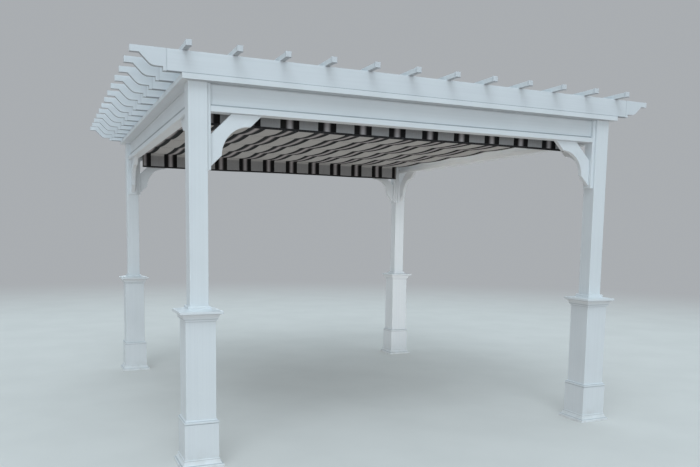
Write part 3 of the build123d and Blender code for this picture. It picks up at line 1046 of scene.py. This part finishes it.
    def stitching(self) -> bpy.types.Object:
        """All stitches in one mesh.

        A stitch is a short rod of square section, pinched at both ends: four rings of four
        corners, set along the stitch's direction, joined ring to ring and filled at the ends.

        Returns:
            The new piece.
        """
        places, ways = (np.concatenate(part) for part in zip(*self.stitch_rows()))
        side = unit(np.cross(ways, [0.0, 0.0, 1.0]))
        up = np.cross(side, ways)
        turn = np.arange(4) * math.pi / 2
        rings = np.array([[-0.5, 0.15], [-0.3, 1.0], [0.3, 1.0], [0.5, 0.15]])
        along = ways[:, None, None, :] * (rings[:, 0] * self.stitch)[None, :, None, None]
        round_side = side[:, None, None, :] * (rings[:, 1:2] * np.cos(turn))[None, :, :, None]
        round_up = up[:, None, None, :] * (rings[:, 1:2] * np.sin(-turn))[None, :, :, None]
        points = places[:, None, None, :] + along + self.thread * (round_side + round_up)
        starts = len(rings) * len(turn) * np.arange(len(places))
        faces = bar_faces(len(rings), len(turn))[None] + starts[:, None, None]
        piece = put_mesh("canopy_stitching", points.reshape(-1, 3), faces.reshape(-1, 4))
        return finish_piece(piece, THREAD)

    def build(self) -> list[bpy.types.Object]:
        """Makes the fabric and hides the frame's plain canopy and valances.

        Returns:
            The new pieces.
        """
        grid = self.cloth_grid()
        cloth = self.cloth(grid)
        sewn = [*self.bindings(grid), self.sleeves(), self.stitching()]
        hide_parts("canopy", "valance_front", "valance_rear")
        return [cloth, *sewn]


@dataclass(frozen=True)
class Lamp:
    """One soft light.

    Attributes:
        name: Name of the light.
        place: Its middle, in metres.
        size: Its width and height, in metres.
        power: Its power, in watts.
        colour: Its colour.
        aim: Point that it shines at.
        spread: Angle over which it fans out, in degrees.
    """

    name: str
    place: tuple[float, float, float]
    size: tuple[float, float]
    power: float
    colour: Colour = (0.80, 0.92, 1.0)
    aim: tuple[float, float, float] = (0.0, 0.0, 1.5)
    spread: float = 180.0

    def hang(self) -> None:
        """Adds the light, which the camera doesn't see itself."""
        data = bpy.data.lights.new(self.name, "AREA")
        data.shape = "RECTANGLE"
        data.size, data.size_y = self.size
        data.energy = self.power
        data.color = self.colour
        data.spread = math.radians(self.spread)
        light = bpy.data.objects.new(self.name, data)
        way = Vector(self.aim) - Vector(self.place)
        turn = way.to_track_quat("-Z", "Y").to_matrix().to_4x4()
        light.matrix_world = Matrix.Translation(self.place) @ turn
        light.visible_camera = False
        bpy.context.scene.collection.objects.link(light)


@dataclass
class Studio:
    """Pale floor and backdrop, soft lights, and the camera at the photograph's viewing angle.

    Attributes:
        camera_place: Camera position, in metres.
        yaw: Degrees from +Y towards +X.
        pitch: Degrees above the horizon.
        roll: Degrees that the camera is turned about its axis.
        focal_pixels: Focal length, in pixels of the 700 wide picture.
        centre_pixels: Where the lens axis meets the 700 by 467 picture.
        picture: Size of the picture, in pixels.
        backdrop: Colour behind the object.
        floor_height: Height of the floor, just under the object's feet.
        floor_colour: Colour of the floor round the object, as it is seen.
        floor_bounce: Light that the floor sends back to the object.
        floor_fade: Distances, in metres, between which the floor fades into the backdrop.
        sky: Colour of the light from all round.
        horizon_strength: Strength of that light at the horizon.
        zenith_strength: Its strength overhead.
        lamps: The main light, low and far off in front so that it reaches the rear posts,
            weaker ones from above and from the rear, and two narrow ones on the rear right
            post and the inside of the right beam, which the roof shades.
    """

    camera_place: tuple[float, float, float] = (-2.680, -6.493, 1.604)
    yaw: float = 23.10
    pitch: float = -5.93
    roll: float = 0.749
    focal_pixels: float = 692.0
    centre_pixels: tuple[float, float] = (337.5, 305.2)
    picture: tuple[int, int] = (700, 467)
    backdrop: Colour = (0.40, 0.42, 0.44)
    floor_height: float = -0.0006
    floor_colour: Colour = (0.76, 0.745, 0.72)
    floor_bounce: Colour = (0.46, 0.447, 0.430)
    floor_fade: tuple[float, float] = (6.5, 17.0)
    sky: Colour = (0.80, 0.93, 1.0)
    horizon_strength: float = 0.41
    zenith_strength: float = 0.88
    lamps: tuple[Lamp, ...] = (
        Lamp("main_light", (-28.0, -74.0, 7.5), (68.0, 16.0), 15100.0),
        Lamp("top_light", (-6.0, -13.0, 20.0), (14.0, 14.0), 1550.0),
        Lamp("rear_light", (28.0, 74.0, 7.5), (68.0, 16.0), 9000.0),
        Lamp(
            "post_light", (-1.2, -6.5, 1.15), (0.5, 2.0), 1.35,
            colour=(1.0, 0.98, 0.96), aim=(1.72, 1.8, 1.15), spread=8.0,
        ),
        Lamp(
            "beam_light", (-6.3, -0.3, 0.75), (2.2, 0.4), 1.8,
            colour=(1.0, 0.95, 0.86), aim=(1.70, 0.0, 2.40), spread=12.0,
        ),
    )

    def camera(self) -> None:
        """Sets the camera from its angles: it looks along yaw and pitch, turned by the roll."""
        yaw, pitch, roll = (math.radians(angle) for angle in (self.yaw, self.pitch, self.roll))
        forward = Vector((
            math.sin(yaw) * math.cos(pitch), math.cos(yaw) * math.cos(pitch), math.sin(pitch),
        ))
        level = Vector((math.cos(yaw), -math.sin(yaw), 0.0))
        upright = level.cross(forward)
        right = level * math.cos(roll) + upright * math.sin(roll)
        up = upright * math.cos(roll) - level * math.sin(roll)
        data = bpy.data.cameras.new("camera")
        data.sensor_width = 36.0
        data.lens = self.focal_pixels * data.sensor_width / self.picture[0]
        data.shift_x = (self.picture[0] / 2 - self.centre_pixels[0]) / self.picture[0]
        data.shift_y = (self.centre_pixels[1] - self.picture[1] / 2) / self.picture[0]
        data.clip_end = 200.0
        camera = bpy.data.objects.new("camera", data)
        turn = Matrix((right, up, -forward)).transposed().to_4x4()
        camera.matrix_world = Matrix.Translation(self.camera_place) @ turn
        bpy.context.scene.collection.objects.link(camera)
        bpy.context.scene.camera = camera

    @staticmethod
    def seen(graph: Graph) -> Link:
        """One for rays from the camera, a reflection or a clear body, and zero for other rays."""
        rays = graph.add("ShaderNodeLightPath", {})
        return (
            Link(graph, rays.outputs["Is Camera Ray"]) + Link(graph, rays.outputs["Is Glossy Ray"])
            + Link(graph, rays.outputs["Is Transmission Ray"])
        )

    def floor(self) -> None:
        """A round floor whose colour fades into the backdrop with distance."""
        around = np.linspace(0, 2 * math.pi, 97)[:-1]
        rings = np.array([0.001, 4.0, 12.0, 30.0, 60.0])
        x = rings[:, None] * np.cos(around)
        y = rings[:, None] * np.sin(around)
        points = np.stack([x, y, np.full_like(x, self.floor_height)], -1).reshape(-1, 3)
        faces = grid_faces(len(rings), len(around), closed=True)[:, ::-1]
        floor = put_mesh("floor", points, faces, smooth=False)
        material, graph = new_material("floor_paint")
        place = graph.place()
        distance = graph.node("ShaderNodeVectorMath", {0: place}, "Value", operation="LENGTH")
        tone = graph.noise(place, 1.4, 5.0)
        paint = graph.blend(
            tone.ramp(0.3, 0.7), self.floor_colour, tuple(0.96 * c for c in self.floor_colour),
        )
        shown = graph.node("ShaderNodeBsdfDiffuse", {"Color": paint})
        bounce = graph.node("ShaderNodeEmission", {"Color": (*self.floor_bounce, 1.0)})
        near = graph.node("ShaderNodeMixShader", {0: self.seen(graph), 1: bounce, 2: shown})
        far = graph.node("ShaderNodeEmission", {"Color": (*self.backdrop, 1.0)})
        fade = distance.ramp(*self.floor_fade)
        mixed = graph.node("ShaderNodeMixShader", {0: fade, 1: near, 2: far})
        graph.add("ShaderNodeOutputMaterial", {"Surface": mixed})
        dress(floor, material)

    def world(self) -> None:
        """Overcast light, stronger overhead. The camera and reflections see the backdrop."""
        world = bpy.data.worlds.new("studio")
        world.use_nodes = True
        bpy.context.scene.world = world
        graph = Graph(world.node_tree)
        rise = graph.axis(graph.node("ShaderNodeTexCoord", {}, "Generated"), "Z").ramp(0.0, 1.0)
        strength = self.horizon_strength + (self.zenith_strength - self.horizon_strength) * rise
        light, shown = (
            graph.node("ShaderNodeBackground", {"Color": (*colour, 1.0), "Strength": power})
            for colour, power in ((self.sky, strength), (self.backdrop, 1.0))
        )
        mixed = graph.node("ShaderNodeMixShader", {0: self.seen(graph), 1: light, 2: shown})
        graph.add("ShaderNodeOutputWorld", {"Surface": mixed})

    def build(self) -> list[bpy.types.Object]:
        """Sets up the stage, the lights and the camera.

        Returns:
            Nothing that belongs to the object.
        """
        self.floor()
        self.world()
        for lamp in self.lamps:
            lamp.hang()
        self.camera()
        bpy.context.scene.view_settings.view_transform = "Standard"
        return []


def main() -> None:
    """Builds the sub-assemblies in order and reports their pieces."""
    logging.basicConfig(level=logging.INFO, format="%(name)s: %(message)s")
    for assembly in (VinylFrame(), Canopy(), Studio()):
        for piece in assembly.build():
            count = len(piece.data.polygons)
            LOG.info("%s: %s, %d faces", type(assembly).__name__, piece.name, count)


if __name__ == "__main__":
    main()
